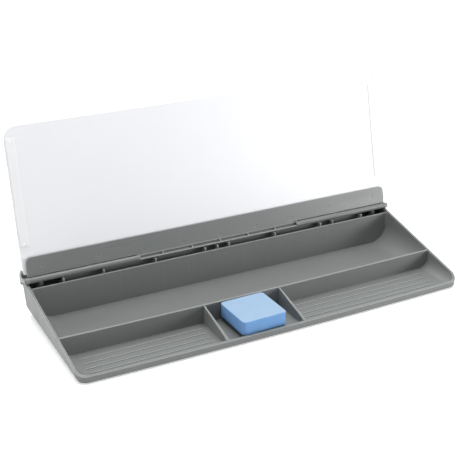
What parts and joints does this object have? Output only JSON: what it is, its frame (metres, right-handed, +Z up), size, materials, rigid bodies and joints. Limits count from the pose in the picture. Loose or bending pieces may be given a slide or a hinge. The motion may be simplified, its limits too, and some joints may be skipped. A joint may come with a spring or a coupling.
{
  "type": "desk whiteboard easel",
  "caption": "Wide glass whiteboard hinged as a lid over a low wedge-shaped organiser tray with open bays; it stands open leaning back, and a blue magnetic eraser lies in the tray.",
  "frame": {"origin": "on the desk, under the middle of the open object's box", "axes": "+X to the right along the hinge, +Y to the back, +Z up"},
  "size_m": [0.457, 0.1944, 0.2032],
  "materials": {
    "tray_plastic": "grey moulded ABS with a fine grain",
    "rail_plastic": "grey moulded ABS, slightly smoother than the tray",
    "plate_plastic": "grey moulded ABS, smooth",
    "clear_glass": "clear toughened glass with polished edges",
    "white_film": "white adhesive film behind the glass",
    "white_steel": "white coated thin steel sheet, satin",
    "tape": "double-sided adhesive tape",
    "strip_rubber": "thin matt off-white cushion strip",
    "foot_rubber": "matt black rubber",
    "screw_steel": "zinc-plated screw",
    "pin_steel": "ground steel pin",
    "eraser_foam": "light blue close-cell foam",
    "eraser_felt": "black wool felt",
    "magnet": "ferrite disc"
  },
  "bodies": {
    "tray": {"tray_body": "tray_plastic", "rear_rail": "rail_plastic", "rail_screws": "screw_steel", "hinge_pin_left": "pin_steel", "hinge_pin_right": "pin_steel", "rubber_foot_front_left": "foot_rubber", "rubber_foot_front_right": "foot_rubber", "rubber_foot_rear_left": "foot_rubber", "rubber_foot_rear_right": "foot_rubber"},
    "board": {"glass_panel": "clear_glass", "white_film": "white_film", "steel_sheet": "white_steel", "hinge_plate": "plate_plastic", "plate_tape": "tape", "cushion_strip_left": "strip_rubber", "cushion_strip_right": "strip_rubber"},
    "eraser": {"eraser_block": "eraser_foam", "eraser_felt": "eraser_felt", "eraser_magnet": "magnet"}
  },
  "joints": [
    {"name": "lid_hinge", "type": "hinge", "parent": "tray", "child": "board", "pos_m": [0, 0.054, 0.0455], "axis": [1, 0, 0], "range_deg": [0, 112.6]},
    {"name": "eraser_lift", "type": "slide", "parent": "tray", "child": "eraser", "axis": [0, 0, 1], "range_m": [0, 0.12]}
  ]
}
